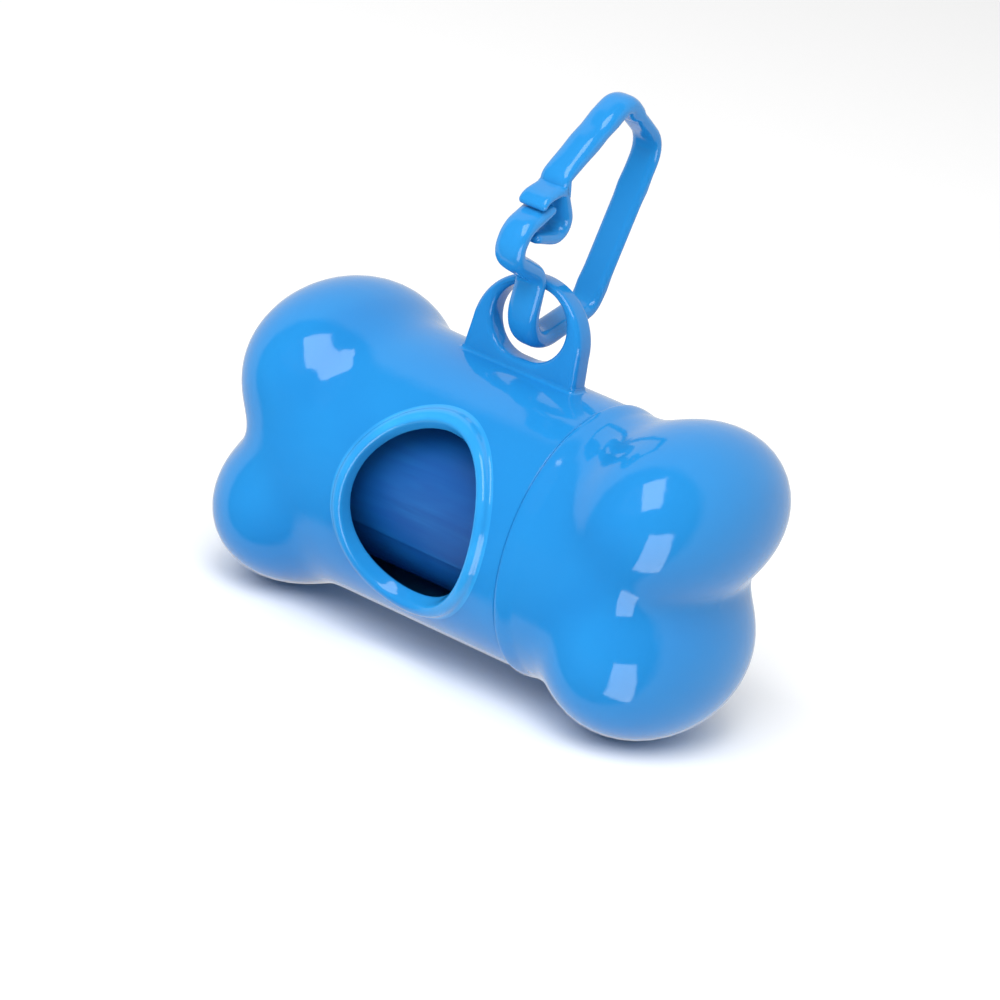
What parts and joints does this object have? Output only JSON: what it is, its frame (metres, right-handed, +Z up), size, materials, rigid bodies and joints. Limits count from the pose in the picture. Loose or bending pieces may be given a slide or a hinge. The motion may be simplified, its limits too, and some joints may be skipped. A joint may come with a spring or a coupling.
{
  "type": "dog poop bag dispenser",
  "caption": "Bone-shaped plastic dispenser for rolled pet waste bags, with an oval outlet, a screw cap end and a snap-hook clip through a hanging lug.",
  "frame": {"origin": "on the surface that the bone's lower lobes stand on, under the middle of the bone", "axes": "+X along the bone towards the screw cap, -Y towards the outlet, +Z up towards the hanging lug and clip"},
  "size_m": [0.083, 0.0412, 0.0827],
  "materials": {
    "body_plastic": "glossy injection-moulded plastic, even mid blue",
    "cap_plastic": "glossy injection-moulded plastic, the same blue as the body",
    "clip_plastic": "glossy flexible plastic with rounded edges, the same blue",
    "core_card": "plain wound card tube",
    "bag_film": "thin dark blue film, wound tight, softly creased"
  },
  "bodies": {
    "body": {"body_shell": "body_plastic", "outlet_rim": "body_plastic", "hanging_lug": "body_plastic", "screw_neck": "body_plastic", "neck_thread": "body_plastic"},
    "carrier": {"roll_core": "core_card"},
    "roll": {"bag_roll": "bag_film", "leading_bag": "bag_film"},
    "cap": {"cap_shell": "cap_plastic", "cap_thread": "cap_plastic"},
    "clip": {"clip_lower": "clip_plastic"},
    "clip_gate": {"clip_upper": "clip_plastic"}
  },
  "joints": [
    {"name": "cap_travel", "type": "slide", "parent": "body", "child": "carrier", "axis": [1, 0, 0], "range_m": [0, 0.005]},
    {"name": "cap_turn", "type": "hinge", "parent": "carrier", "child": "cap", "pos_m": [0.0145, 0, 0.02276], "axis": [1, 0, 0], "range_deg": [0, 450]},
    {"name": "roll_spin", "type": "hinge", "parent": "carrier", "child": "roll", "pos_m": [0, 0, 0.02239], "axis": [1, 0, 0], "continuous": true},
    {"name": "clip_swing", "type": "hinge", "parent": "body", "child": "clip", "pos_m": [-0.0012, 0, 0.04976], "axis": [0, 1, 0], "range_deg": [-80, 80]},
    {"name": "clip_open", "type": "hinge", "parent": "clip", "child": "clip_gate", "pos_m": [-0.0012, 0.0145, 0.05886], "axis": [0, 0.2857, 0.9583], "range_deg": [-15, 15], "stiffness_Nm_per_rad": 0.02}
  ],
  "couplings": [
    {"joint": "cap_travel", "follows": "cap_turn", "m_per_rad": 0.00063662}
  ]
}
